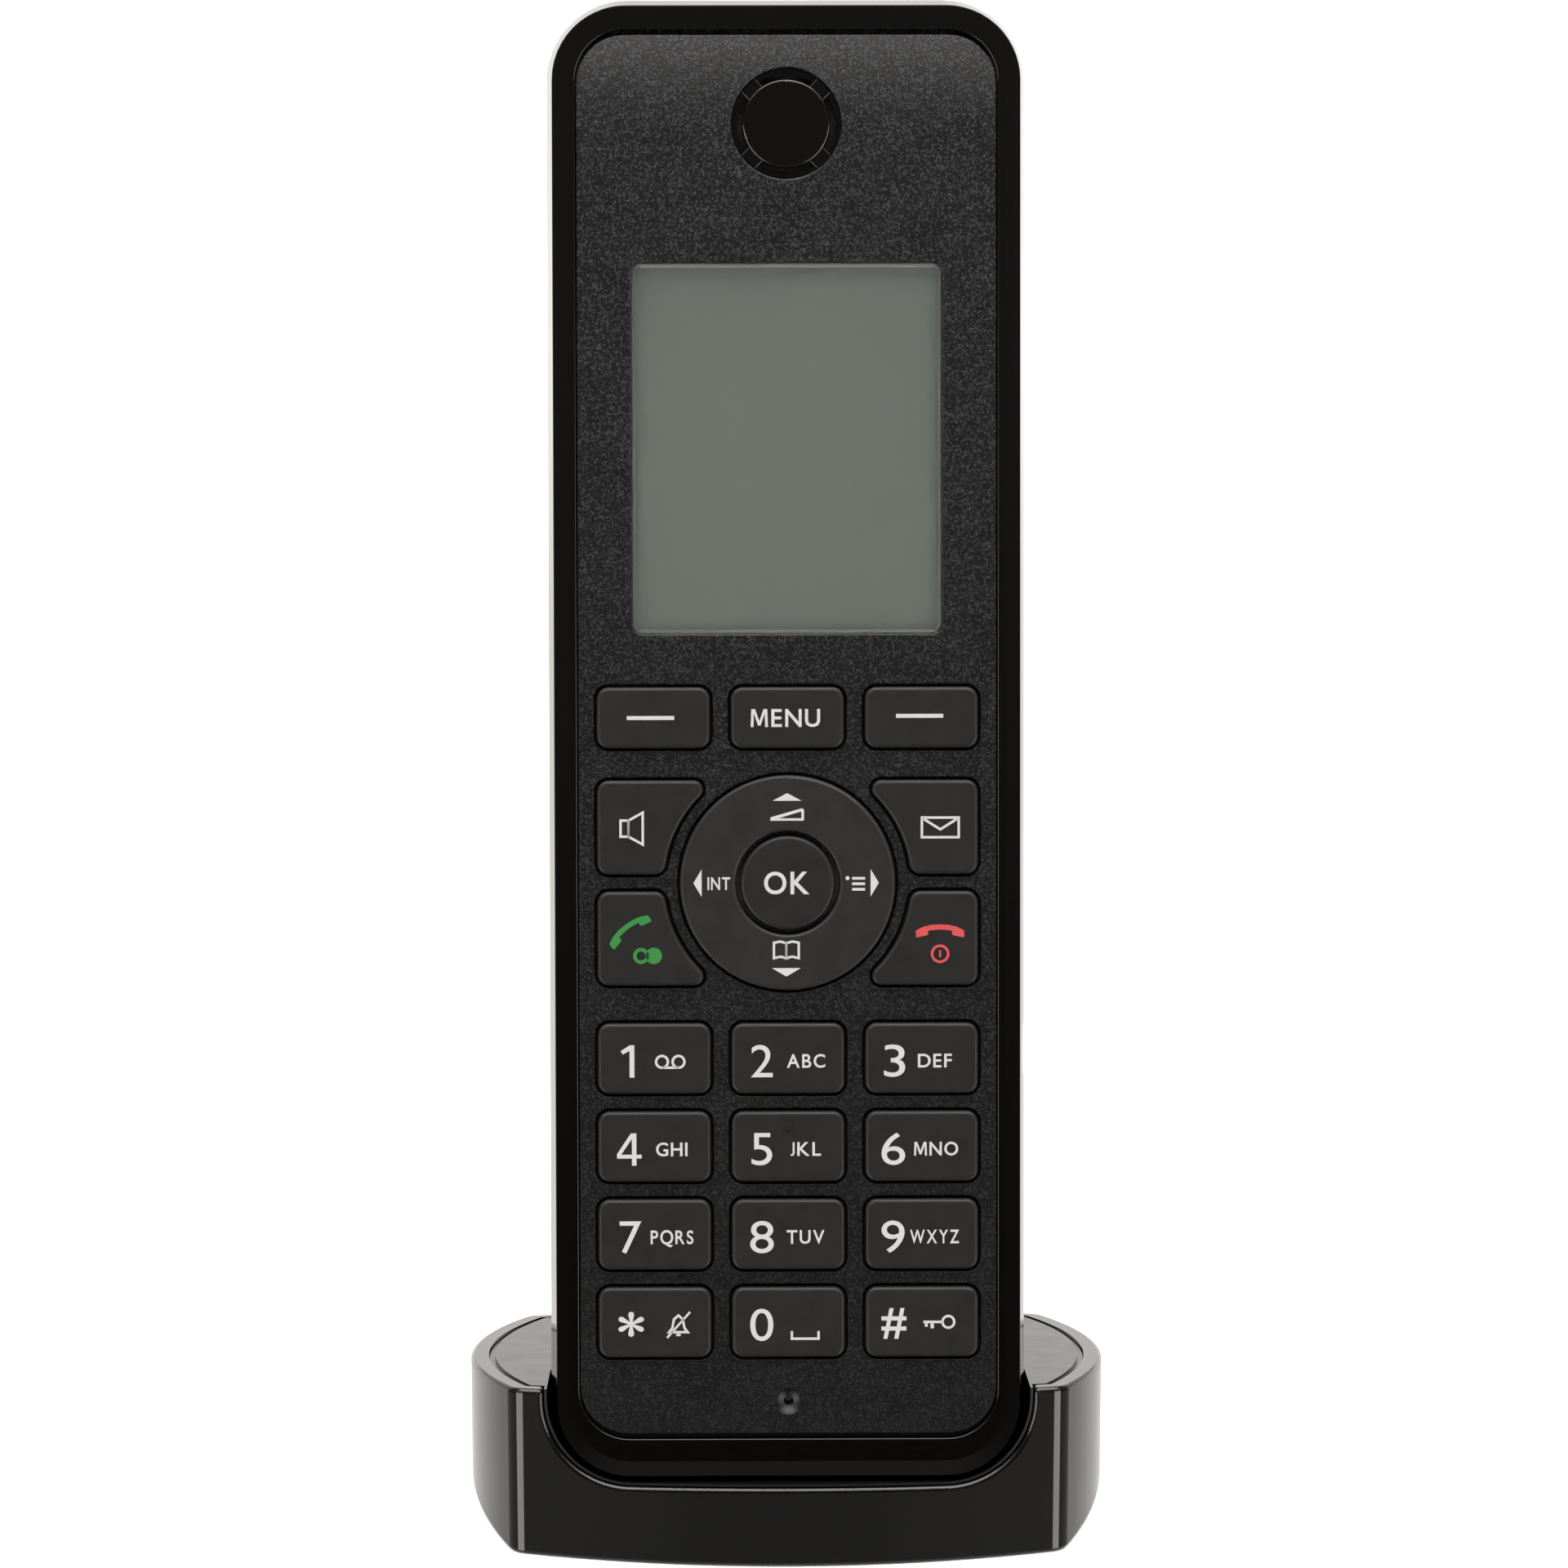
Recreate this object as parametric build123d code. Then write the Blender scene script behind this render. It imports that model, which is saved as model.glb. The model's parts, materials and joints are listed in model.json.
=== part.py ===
from build123d import *
import math
import os

# A cordless phone handset standing in its charging base. Millimetres, +Z up, keys facing -Y.
# The origin lies under the middle of the base, on the surface that it stands on.
#
# Handset pieces are drawn in the handset's own axes and then tilted into the base:
# x runs across the keys, y up along the handset, z out of its face. z = 0 is the face.

# ------------------------------------------------------------------ driving dimensions

RECLINE = 12.0
FACE_FOOT = (0.0, -28.0, 9.2)  # lower edge of the handset's face, where it stands in the base

FACE_WIDTH = 47.3
FACE_HEIGHT = 149.5
FACE_CORNER = 7.5
CROWN_WIDTH = 1.6
CROWN_FALL = 0.14
BODY_WIDTH = 48.9
BODY_LOW = -0.35
BODY_HIGH = 150.7
BODY_CORNER = 8.35
BODY_DEPTH = 18.0
BACK_RADIUS = 6.0
SEAM = -9.0
SEAM_GAP = 0.1
SEAM_BEVEL = 0.15
WALL = 1.6

PANEL_WIDTH = 42.5
PANEL_LOW = 4.4
PANEL_HIGH = 146.6
PANEL_CORNER = 4.95
PANEL_FRONT = -0.25
PANEL_BACK = -1.7
RIM_BACK = -2.3
PANEL_EDGE = 0.15

WINDOW_WIDTH = 31.4
WINDOW_LOW = 86.05
WINDOW_HIGH = 123.6
WINDOW_CORNER = 1.0
WINDOW_BACK = -2.15
LCD_FRONT = -2.45
LCD_BACK = -3.65

EARPIECE_V = 137.65
EARPIECE_HOLE = 5.6
MICROPHONE_V = 7.7
HANDSET_SCREWS = [(u, v) for u in (-15.5, 15.5) for v in (7.3, 130.0)]

KEY_TOP = 0.35
KEY_FLANGE_FRONT = -1.8
KEY_FLANGE_BACK = -2.35
KEY_FLANGE = 0.6
KEY_HOLE_GAP = 0.25
KEY_CORNER = 1.2
KEY_EDGE = 0.4
STEM_RADIUS = 1.5
STEM_END = -5.0
COLUMN_PITCH = 13.6
KEY_WIDTH = 11.5
DIGIT_HEIGHT = 7.2
DIGIT_TOP_ROW = 42.9
DIGIT_PITCH = 9.0
DIGIT_ROWS = [("1", "2", "3"), ("4", "5", "6"), ("7", "8", "9"), ("star", "0", "hash")]
SOFT_ROW = 77.6
SOFT_HEIGHT = 6.2
SIDE_KEY_EDGE = 19.35
SIDE_KEY_HEIGHT = 9.6
SIDE_KEY_ARC = 12.5
SIDE_KEY_TIP = 0.95

NAV_V = 60.8
NAV_RADIUS = 10.95
NAV_BORE = 5.27
NAV_HOLE = 11.2
OK_RADIUS = 4.8

MAT_FRONT = -3.05
MAT_BACK = -3.6
BOARD_FRONT = -5.8
BOARD_BACK = -6.8
FILM_FRONT = -5.7

COVER_LOW = 38.0
COVER_HIGH = 104.0
COVER_EDGE = -12.6
COVER_SKIN = 1.45
JACK_V = 43.0
JACK_RADIUS = 1.8
JACK_COLLAR = 2.8
PAD_U = 8.5

BASE_FRONT_ARC = 102.0
BASE_FRONT_ARC_CENTRE = 72.2
BASE_SIDE_ARC = 66.6
BASE_SIDE_ARC_CENTRE = 33.1
BASE_CORNER = 2.4
BASE_BOTTOM = 0.4
BASE_TOP = 9.1  # height of the base's top along the handset, from the handset's foot
INSERT_THICKNESS = 1.8
LIP_RADIUS = 0.45
NOTCH_GAP = 0.6
FLOOR_TOP = 1.6
BASE_SCREWS = [(x, y) for x in (-14, 14) for y in (-22, 22)]
FEET = [(x, y) for x in (-23, 23) for y in (-19.5, 19.5)]
CORD_RADIUS = 1.5
CORD_HEIGHT = 2.5

lean = math.radians(RECLINE)
HANDSET = Location(
    Plane(origin=FACE_FOOT, x_dir=(1, 0, 0), z_dir=(0, -math.cos(lean), math.sin(lean)))
)


# ------------------------------------------------------------------ shared shapes


def rounded(width, low, high, radius):
    """Rounded rectangle on the face, centred across it, from `low` to `high` along it."""
    return Pos(0, (low + high) / 2) * RectangleRounded(width, high - low, radius)


def slab(outline, back, front):
    """An outline on the face made solid between two depths."""
    return extrude(Pos(0, 0, back) * outline, front - back)


def block(left, right, low, high, back, front):
    centre = Pos((left + right) / 2, (low + high) / 2, (back + front) / 2)
    return centre * Box(right - left, high - low, front - back)


def rod(radius, x, y, back, front):
    return Pos(x, y, (back + front) / 2) * Cylinder(radius, front - back)


def ring(outer, inner, x, y, back, front):
    return rod(outer, x, y, back, front) - rod(inner, x, y, back, front)


def cross_rod(radius, left, right, y, z):
    """A round rod lying across the handset."""
    return Pos((left + right) / 2, y, z) * Rot(0, 90, 0) * Cylinder(radius, right - left)


def cross_slot(x, y, reach, back, front):
    """Cross-shaped recess for a screwdriver."""
    along = block(x - reach, x + reach, y - 0.2, y + 0.2, back, front)
    return along + block(x - 0.2, x + 0.2, y - reach, y + reach, back, front)


def top_edges(part):
    return part.faces().sort_by(Axis.Z)[-1].edges()


def bottom_edges(part):
    return part.faces().sort_by(Axis.Z)[0].edges()


# ------------------------------------------------------------------ handset shells


def waist_outline(inset):
    """The handset's outline at its seam, moved inward by `inset`."""
    return rounded(
        BODY_WIDTH - 2 * inset, BODY_LOW + inset, BODY_HIGH - inset, BODY_CORNER - inset
    )


def body_form(inset):
    """The handset behind its seam, with every surface moved inward by `inset`."""
    form = slab(waist_outline(inset), inset - BODY_DEPTH, SEAM - SEAM_GAP / 2)
    return fillet(bottom_edges(form), BACK_RADIUS - inset)


def channel(inset, low, high, front):
    """A length of the handset's cross-section, moved inward by `inset` or outward if negative."""
    half = BODY_WIDTH / 2 - inset
    form = block(-half, half, low, high, inset - BODY_DEPTH, 60)
    back_edges = form.edges().filter_by(Axis.Y).group_by(Axis.Z)[0]
    form = fillet(back_edges, BACK_RADIUS - inset)
    return form - block(-60, 60, low - 1, high + 1, front, 61)


def jack_hole():
    return cross_rod(JACK_COLLAR + 0.1, 20, 26, JACK_V, SEAM)


def face_outline(inset):
    """The outline of the handset's face, moved inward by `inset` or outward if negative."""
    width = FACE_WIDTH - 2 * inset
    return rounded(width, inset, FACE_HEIGHT - inset, FACE_CORNER - inset)


def crown():
    """All that lies behind the face's shallow crown, which falls away near the edges."""
    spread = 10
    fall = CROWN_FALL / CROWN_WIDTH * (spread + CROWN_WIDTH)
    hip = loft([Pos(0, 0, -fall) * face_outline(-spread), face_outline(CROWN_WIDTH)])
    return hip + slab(face_outline(-spread), SEAM - 1, -fall)


def bezel_frame():
    seam_front = SEAM + SEAM_GAP / 2
    waist = Pos(0, 0, seam_front + SEAM_BEVEL) * waist_outline(0)
    frame = fillet(top_edges(loft([waist, face_outline(0)])), 0.4) & crown()
    frame += loft([Pos(0, 0, seam_front) * waist_outline(SEAM_BEVEL), waist])
    frame -= slab(rounded(44.6, 2.0, 147.9, 6.2), seam_front - 1, -WALL)
    opening = slab(rounded(42.7, 3.9, 147.1, 5.1), -3, 1)
    frame -= opening
    inner_edge = top_edges(frame).filter_by(lambda edge: abs(edge.center().X) < 21.5)
    inner_edge = inner_edge.filter_by(lambda edge: 3 < edge.center().Y < 148)
    frame = fillet(inner_edge, 0.12)
    return frame - jack_hole()


def screw_posts():
    """Posts on the inside of the back, each with a pocket for the screw head."""
    posts = Part()
    for u, v in HANDSET_SCREWS:
        posts += rod(3.0, u, v, -17.0, -8.2)
    return posts


def screw_pockets():
    pockets = Part()
    for u, v in HANDSET_SCREWS:
        pockets += rod(2.3, u, v, -BODY_DEPTH - 1, -11.0)
        pockets += rod(1.15, u, v, -12, -8)
    return pockets


def battery_bay():
    """Tub that holds the battery, open to the back, standing clear of the circuit board."""
    return block(-19, 19, 49, 99.2, -15.5, -9.1) - block(-18, 18, 50, 98.2, -20, -9.9)


def back_shell():
    form = body_form(0)
    shell = chamfer(top_edges(form), SEAM_BEVEL) - body_form(WALL)
    shell -= block(-30, 30, COVER_LOW, COVER_HIGH, -20, COVER_EDGE)
    lap = 1.2
    inner = channel(WALL, COVER_LOW - lap, COVER_HIGH + lap, COVER_EDGE + lap)
    inner -= channel(WALL + lap, COVER_LOW - 2, COVER_HIGH + 2, COVER_EDGE + 2 * lap)
    shell += inner
    shell += battery_bay()
    shell -= block(-18, 18, 50, 98.2, -20, -9.9)
    shell += screw_posts()
    shell -= screw_pockets()
    shell -= jack_hole()
    for side in (-1, 1):
        shell -= charge_pad(side)
    for row in range(5):
        shell -= speaker_slot(row)
    return shell


def speaker_slot(row):
    """One slot of the grille behind the ringer loudspeaker."""
    slot = SlotOverall(11 - 1.6 * abs(row - 2), 1.2)
    return slab(Pos(0, 115.2 + 2.4 * row) * slot, -BODY_DEPTH - 1, -16)


def battery_cover():
    cover = channel(0, COVER_LOW + 0.1, COVER_HIGH - 0.1, COVER_EDGE - 0.1)
    cover -= channel(COVER_SKIN, COVER_LOW - 1, COVER_HIGH + 1, COVER_EDGE + 1)
    for groove in range(3):
        cover -= cross_rod(0.35, -5, 5, 44 + 1.8 * groove, -BODY_DEPTH - 0.1)
    return cover


def charge_pad(side):
    """Contact plate let into the lower end, with a tail through the wall."""
    middle = side * PAD_U
    plate = block(middle - 2.5, middle + 2.5, BODY_LOW, BODY_LOW + 0.7, -11.8, -9.4)
    tail = block(middle - 0.6, middle + 0.6, BODY_LOW + 0.7, 2.6, -11.2, -10.0)
    return plate + tail


def handset_charge_pads():
    return Part() + charge_pad(-1) + charge_pad(1)


def handset_screws():
    screws = Part()
    for u, v in HANDSET_SCREWS:
        head = fillet(bottom_edges(rod(1.9, u, v, -12.3, -11.0)), 0.3)
        head -= cross_slot(u, v, 1.2, -13, -11.8)
        screws += head + rod(0.95, u, v, -11.0, -3.5)
    return screws


# ------------------------------------------------------------------ face panel and display


def front_panel():
    """Face panel with rounded edges at its openings, a rim behind the bezel and screw bosses."""
    openings = window_outline(0) + Pos(0, EARPIECE_V) * Circle(EARPIECE_HOLE)
    openings += Pos(0, NAV_V) * Circle(NAV_HOLE)
    for outline in key_outlines(KEY_HOLE_GAP).values():
        openings += outline
    plate = rounded(PANEL_WIDTH, PANEL_LOW, PANEL_HIGH, PANEL_CORNER) - openings
    panel = slab(plate, PANEL_BACK, PANEL_FRONT)
    panel = fillet(top_edges(panel), PANEL_EDGE)
    rim = slab(rounded(44.2, 2.3, 147.6, 6.0), RIM_BACK, -WALL)
    rim -= slab(rounded(40.8, 5.4, 145.4, 4.0), RIM_BACK - 1, 0)
    panel += rim
    for u, v in HANDSET_SCREWS:
        panel += rod(2.4, u, v, -8.0, PANEL_BACK)
        panel -= rod(1.0, u, v, -9.0, -3.0)
    panel -= Pos(0, MICROPHONE_V, PANEL_FRONT + 1.0) * Sphere(1.7)
    return panel - rod(0.5, 0, MICROPHONE_V, -3, 1)


def window_outline(grow):
    """Outline of the display's opening, made larger by `grow`."""
    return rounded(
        WINDOW_WIDTH + 2 * grow, WINDOW_LOW - grow, WINDOW_HIGH + grow, WINDOW_CORNER + grow
    )


def display_window():
    lens = slab(window_outline(-0.15), PANEL_BACK, -0.45)
    lens = chamfer(top_edges(lens), 0.2)
    return lens + slab(window_outline(1.05), WINDOW_BACK, PANEL_BACK)


def display_gasket():
    frame = window_outline(1.05) - window_outline(0.2)
    return slab(frame, LCD_FRONT, WINDOW_BACK)


def lcd_panel():
    return block(-17.2, 17.2, 82.6, 125.0, LCD_BACK, LCD_FRONT)


def lcd_holder():
    holder = block(-18.2, 18.2, 82.4, 126.4, -4.9, LCD_BACK)
    return holder - block(-13, 13, 88, 120, -6, -4.2)


# ------------------------------------------------------------------ earpiece and microphone


def earpiece_cap():
    """Disc in front of the earpiece on four spokes, with a ring that keeps it behind the panel."""
    cap = fillet(top_edges(rod(4.46, 0, EARPIECE_V, -1.9, -0.3)), 0.25)
    cap += ring(6.5, 5.0, 0, EARPIECE_V, RIM_BACK, PANEL_BACK)
    spoke = block(4.0, 5.95, -1.0, 1.0, RIM_BACK, -0.55)
    spoke = fillet(spoke.edges().filter_by(Axis.X).group_by(Axis.Z)[-1], 0.15)
    inside = rod(5.45, 0, 0, PANEL_BACK, 0) + rod(6.5, 0, 0, RIM_BACK, PANEL_BACK)
    for turn in (45, 135, 225, 315):
        cap += Pos(0, EARPIECE_V) * (inside & Rot(0, 0, turn) * spoke)
    return cap


def earpiece_mesh():
    return rod(6.2, 0, EARPIECE_V, -2.45, RIM_BACK)


def earpiece_speaker():
    speaker = rod(7.5, 0, EARPIECE_V, -5.0, -2.6)
    return speaker + rod(5.0, 0, EARPIECE_V, -5.8, -5.0)


def microphone():
    return rod(1.6, 0, MICROPHONE_V, BOARD_FRONT, -4.3)


def mic_boot():
    boot = rod(2.2, 0, MICROPHONE_V, BOARD_FRONT, PANEL_BACK)
    boot -= rod(1.6, 0, MICROPHONE_V, BOARD_FRONT - 1, -4.3)
    return boot - rod(0.6, 0, MICROPHONE_V, -5, 0)


# ------------------------------------------------------------------ keys


def digit_place(across, row):
    """Middle of a digit key, counted from the middle column and the top row."""
    return across * COLUMN_PITCH, DIGIT_TOP_ROW - DIGIT_PITCH * row


def side_key_outline(side, upper, grow):
    """Key beside the navigation ring: a rectangle hollowed around the ring."""
    near = NAV_V + (0.85 if upper else -0.85)
    far = near + (SIDE_KEY_HEIGHT if upper else -SIDE_KEY_HEIGHT)
    low = min(near, far) - grow
    high = max(near, far) + grow
    inner = 3.0
    outer = SIDE_KEY_EDGE + grow
    outline = Pos(side * (inner + outer) / 2, (low + high) / 2) * Rectangle(outer - inner, high - low)
    outline -= Pos(0, NAV_V) * Circle(SIDE_KEY_ARC - grow)
    tip = outline.vertices().sort_by(lambda corner: abs(corner.X))[0]
    outline = fillet(tip, SIDE_KEY_TIP + grow)
    square = outline.vertices().filter_by(lambda corner: sharp_corner(corner, near, far, outer, grow))
    return fillet(square, KEY_CORNER + grow)


def sharp_corner(corner, near, far, outer, grow):
    """True for the corners of a side key that are still sharp once its tip is rounded."""
    toward = grow if near > far else -grow
    on_near = abs(corner.Y - (near + toward)) < 1e-6
    on_far = abs(corner.Y - (far - toward)) < 1e-6
    return on_near or (on_far and abs(abs(corner.X) - outer) < 1e-6)


def key_outlines(grow):
    """Outlines of all the keys but OK, each larger than the key's cap by `grow`."""
    soft = RectangleRounded(KEY_WIDTH + 2 * grow, SOFT_HEIGHT + 2 * grow, KEY_CORNER + grow)
    digit = RectangleRounded(KEY_WIDTH + 2 * grow, DIGIT_HEIGHT + 2 * grow, KEY_CORNER + grow)
    outlines = {}
    for across, name in enumerate(["soft_left", "menu", "soft_right"], -1):
        outlines["key_" + name] = Pos(across * COLUMN_PITCH, SOFT_ROW) * soft
    outlines["key_speaker"] = side_key_outline(-1, True, grow)
    outlines["key_message"] = side_key_outline(1, True, grow)
    outlines["key_call"] = side_key_outline(-1, False, grow)
    outlines["key_end"] = side_key_outline(1, False, grow)
    for row, names in enumerate(DIGIT_ROWS):
        for across, name in enumerate(names, -1):
            outlines["key_" + name] = Pos(*digit_place(across, row)) * digit
    return outlines


def stem_places():
    """Where each key presses on the circuit board."""
    places = {}
    for name, outline in key_outlines(0).items():
        centre = outline.bounding_box().center()
        side_key = name in ("key_speaker", "key_message", "key_call", "key_end")
        across = math.copysign(15.6, centre.X) if side_key else centre.X
        places[name] = (across, centre.Y)
    places["key_ok"] = (0, NAV_V)
    return places


def key(cap_outline, flange_outline, stem):
    cap = fillet(top_edges(slab(cap_outline, KEY_FLANGE_FRONT, KEY_TOP)), KEY_EDGE)
    flange = slab(flange_outline, KEY_FLANGE_BACK, KEY_FLANGE_FRONT)
    return cap + flange + rod(STEM_RADIUS, *stem, STEM_END, KEY_FLANGE_BACK)


def keys():
    caps = key_outlines(0)
    flanges = key_outlines(KEY_FLANGE)
    stems = stem_places()
    made = {name: key(caps[name], flanges[name], stems[name]) for name in caps}
    made["key_5"] += rod(0.4, 0, 36.07, 0, KEY_TOP + 0.15)
    ok = fillet(top_edges(rod(OK_RADIUS, 0, NAV_V, -2.4, KEY_TOP)), KEY_EDGE)
    made["key_ok"] = ok + rod(STEM_RADIUS, 0, NAV_V, STEM_END, -2.4)
    return made


def nav_ring():
    """Four-way ring around OK, kept behind the panel by its flange."""
    cap = rod(NAV_RADIUS, 0, NAV_V, -2.2, KEY_TOP)
    cap -= rod(NAV_BORE, 0, NAV_V, -3, 1)
    cap = fillet(top_edges(cap), 0.35)
    return cap + ring(11.55, NAV_BORE, 0, NAV_V, -2.7, -2.2)


def nav_rocker():
    """Rocking plate under the ring, with four plungers on the contact domes."""
    rocker = ring(9.5, 5.5, 0, NAV_V, MAT_BACK, -3.1)
    for u, v in nav_domes():
        rocker += rod(1.0, u, v, STEM_END, MAT_BACK)
    return rocker


def nav_domes():
    return [(8 * math.cos(turn), NAV_V + 8 * math.sin(turn)) for turn in
            (math.radians(quarter) for quarter in (0, 90, 180, 270))]


def keypad_mat():
    """Rubber sheet under the keys, standing on the contact film along its rim."""
    mat = slab(rounded(41, 10.4, 82.2, 2.0), FILM_FRONT, MAT_FRONT)
    mat -= slab(rounded(39, 11.4, 81.2, 1.0), FILM_FRONT - 1, MAT_BACK)
    mat -= rod(12.0, 0, NAV_V, -7, 0)
    for name, place in stem_places().items():
        if name != "key_ok":
            mat -= rod(STEM_RADIUS + 0.5, *place, -7, 0)
    return mat


def dome_sheet():
    """Film with one snap dome for each key and each way of the ring."""
    sheet = slab(rounded(41, 10.4, 82.2, 2.0), BOARD_FRONT, FILM_FRONT)
    for place in list(stem_places().values()) + nav_domes():
        sheet += rod(2.2, *place, FILM_FRONT, FILM_FRONT + 0.15)
    return sheet


# ------------------------------------------------------------------ electronics of the handset


def main_pcb():
    board = slab(rounded(41.6, 5.0, 128.0, 2.0), BOARD_BACK, BOARD_FRONT)
    for u, v in HANDSET_SCREWS:
        board -= rod(3.2, u, v, -8, -5)
    return board


def shield_can():
    can = fillet(bottom_edges(block(-14, 14, 52, 80, -8.4, BOARD_BACK)), 0.4)
    return can - block(-13.7, 13.7, 52.3, 79.7, -8.1, -6)


def antenna():
    """Folded sheet aerial on legs at the upper edge of the board."""
    aerial = block(-18, 2, 121.5, 126.5, -10.5, BOARD_BACK)
    aerial -= block(-17.5, 1.5, 121, 127, -10.0, -6)
    return aerial - block(-14, -2, 123.7, 124.3, -11, -9)


def loudspeaker():
    return rod(10, 0, 120, -14.6, -12.1) + rod(8.6, 0, 120, -16.1, -14.6)


def loudspeaker_gasket():
    return ring(8.6, 7.4, 0, 120, -16.4, -16.1)


def battery_pack():
    pack = block(-17, 17, 51, 96.6, -15.9, -10.1)
    return fillet(pack.edges().filter_by(Axis.Y), 1.2)


def battery_contacts():
    """Three bent spring strips between the battery and the end of its bay."""
    contacts = Part()
    for u in (-6, 0, 6):
        strip = block(u - 1, u + 1, 96.7, 98.2, -14.6, -11.0)
        strip -= block(u - 2, u + 2, 97.0, 97.9, -14.3, -10.0)
        contacts += strip
    return contacts


def headset_jack():
    """Socket under the board, with a collar that reaches through the handset's side."""
    body = block(11.2, 22.2, JACK_V - 3, JACK_V + 3, -11.2, BOARD_BACK)
    body += cross_rod(JACK_COLLAR, 22.0, 24.1, JACK_V, SEAM)
    return body - cross_rod(JACK_RADIUS, 10, 25, JACK_V, SEAM)


# ------------------------------------------------------------------ base


def cradle_plan(inset):
    """Barrel-shaped plan of the base: shallow arcs front and back, deeper arcs at the sides."""
    front_arc = Circle(BASE_FRONT_ARC - inset)
    side_arc = Circle(BASE_SIDE_ARC - inset)
    plan = Pos(0, BASE_FRONT_ARC_CENTRE) * front_arc & Pos(0, -BASE_FRONT_ARC_CENTRE) * front_arc
    plan = plan & Pos(BASE_SIDE_ARC_CENTRE, 0) * side_arc & Pos(-BASE_SIDE_ARC_CENTRE, 0) * side_arc
    if inset < BASE_CORNER:
        plan = fillet(plan.vertices(), BASE_CORNER - inset)
    return plan


def upright(inset, low, high):
    """The base's plan moved inward by `inset` and made solid between two heights."""
    return slab(cradle_plan(inset), low, high)


def above(height):
    """Everything above a plane square to the handset, `height` up along it from its foot."""
    return HANDSET * block(-60, 60, height, height + 60, -100, 60)


def pocket_form(gap, front):
    """The handset's lower end with a gap around it, open upward, up to the depth `front`."""
    across = rounded(BODY_WIDTH + 2 * gap, BODY_LOW - gap, 60, BODY_CORNER + gap)
    return HANDSET * (slab(across, -BODY_DEPTH - gap, front) & channel(-gap, -10, 50, front))


def face_notch():
    """Room in the front wall for the handset's face."""
    width = BODY_WIDTH + 2 * NOTCH_GAP
    outline = rounded(width, BODY_LOW - NOTCH_GAP, 60, BODY_CORNER + NOTCH_GAP)
    return HANDSET * slab(outline, -7, 30)


def on_top_edge(edge):
    """True for the edges of the base's sloping top."""
    middle = HANDSET.inverse() * Pos(edge.position_at(0.5))
    return abs(middle.position.Y - BASE_TOP) < 0.01


def on_lip(edge):
    """True for the edges where the notch breaks through the front wall."""
    middle = edge.position_at(0.5)
    radius = math.hypot(middle.X, middle.Y - BASE_FRONT_ARC_CENTRE)
    on_wall = abs(radius - BASE_FRONT_ARC) < 0.01 and abs(middle.X) < BODY_WIDTH / 2 + 1
    return on_wall and middle.Y < 0 and middle.Z > BASE_BOTTOM + 1


def cradle_shell():
    """Outer wall of the base, notched at the front where the handset's face shows."""
    shell = upright(0, BASE_BOTTOM, 30) - above(BASE_TOP) - face_notch()
    rounded_edges = shell.edges().filter_by(lambda edge: on_top_edge(edge) or on_lip(edge))
    shell = fillet(rounded_edges, LIP_RADIUS)
    shell -= upright(1.9, -1, 30) & above(BASE_TOP - INSERT_THICKNESS)
    shell -= upright(2.7, -1, 30)
    shell -= upright(1.2, -1, FLOOR_TOP + 0.05)
    return shell - cord_notch(0)


def cord_notch(gap):
    """Slot for the cord's grommet in the rear edge, open downward."""
    width = 2 * (CORD_RADIUS + 0.6 + gap)
    arch = Pos(0, 27.6, CORD_HEIGHT) * Rot(90, 0, 0) * Cylinder(width / 2, 6)
    return arch + block(-width / 2, width / 2, 24.6, 30.6, 0, CORD_HEIGHT)


def cord_grommet():
    grommet = cord_notch(0) & block(-5, 5, 25.6, 29.6, BASE_BOTTOM, 8)
    return grommet - Pos(0, 27.6, CORD_HEIGHT) * Rot(90, 0, 0) * Cylinder(CORD_RADIUS, 8)


def cradle_insert():
    """Top plate with the pocket that the handset stands in, and the posts for the base's screws."""
    insert = upright(2.0, 0, 30) - above(BASE_TOP)
    insert = insert & above(BASE_TOP - INSERT_THICKNESS)
    groove = upright(1.0, 0, 30) - upright(2.55, 0, 30)
    insert -= groove & above(BASE_TOP - 0.35)
    insert += (pocket_form(1.45, 30) & upright(2.8, 0, 30)) - above(BASE_TOP)
    lining = pocket_form(NOTCH_GAP - 0.1, 30) & upright(0.4, 0, 30)
    insert += lining & (HANDSET * block(-40, 40, -20, 60, -6, 60)) - above(BASE_TOP)
    for x, y in BASE_SCREWS:
        insert += rod(2.6, x, y, FLOOR_TOP, 16) - above(BASE_TOP)
    for side in (-1, 1):
        insert += HANDSET * block(side * PAD_U - 1.5, side * PAD_U + 1.5, -2.2, -1.7, -17.5, -15.5)
    insert -= pocket_form(0.25, 60)
    for side in (-1, 1):
        insert -= HANDSET * block(side * PAD_U - 1.5, side * PAD_U + 1.5, -4, 1, -13, -8.9)
    for x, y in BASE_SCREWS:
        insert -= rod(1.0, x, y, 0, 5.2)
    return insert


def charge_contact(side):
    """Sprung leaf that the handset presses down, rooted under the pocket's floor."""
    route = [(-2.4, -16.9), (-2.4, -12.5), (-0.62, -10.7), (-1.9, -9.4)]
    points = [Vector(side * PAD_U - 1.2, v, n) for v, n in route]
    centre_line = FilletPolyline(*points, radius=0.5)
    strip = Plane(origin=centre_line @ 0, x_dir=(1, 0, 0), z_dir=centre_line % 0)
    section = strip * Pos(1.2, 0) * Rectangle(2.4, 0.3)
    return sweep(section, centre_line)


def bottom_plate():
    plate = upright(1.3, BASE_BOTTOM, FLOOR_TOP)
    for x, y in BASE_SCREWS:
        plate -= rod(1.15, x, y, 0, 3)
        plate -= rod(2.4, x, y, 0, 1.0)
    for x, y in FEET:
        plate -= rod(3.6, x, y, 0, 1.0)
    return plate - cord_notch(0.05)


def rubber_feet():
    feet = Part()
    for x, y in FEET:
        feet += chamfer(bottom_edges(rod(3.5, x, y, 0, 1.0)), 0.2)
    return feet


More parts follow.
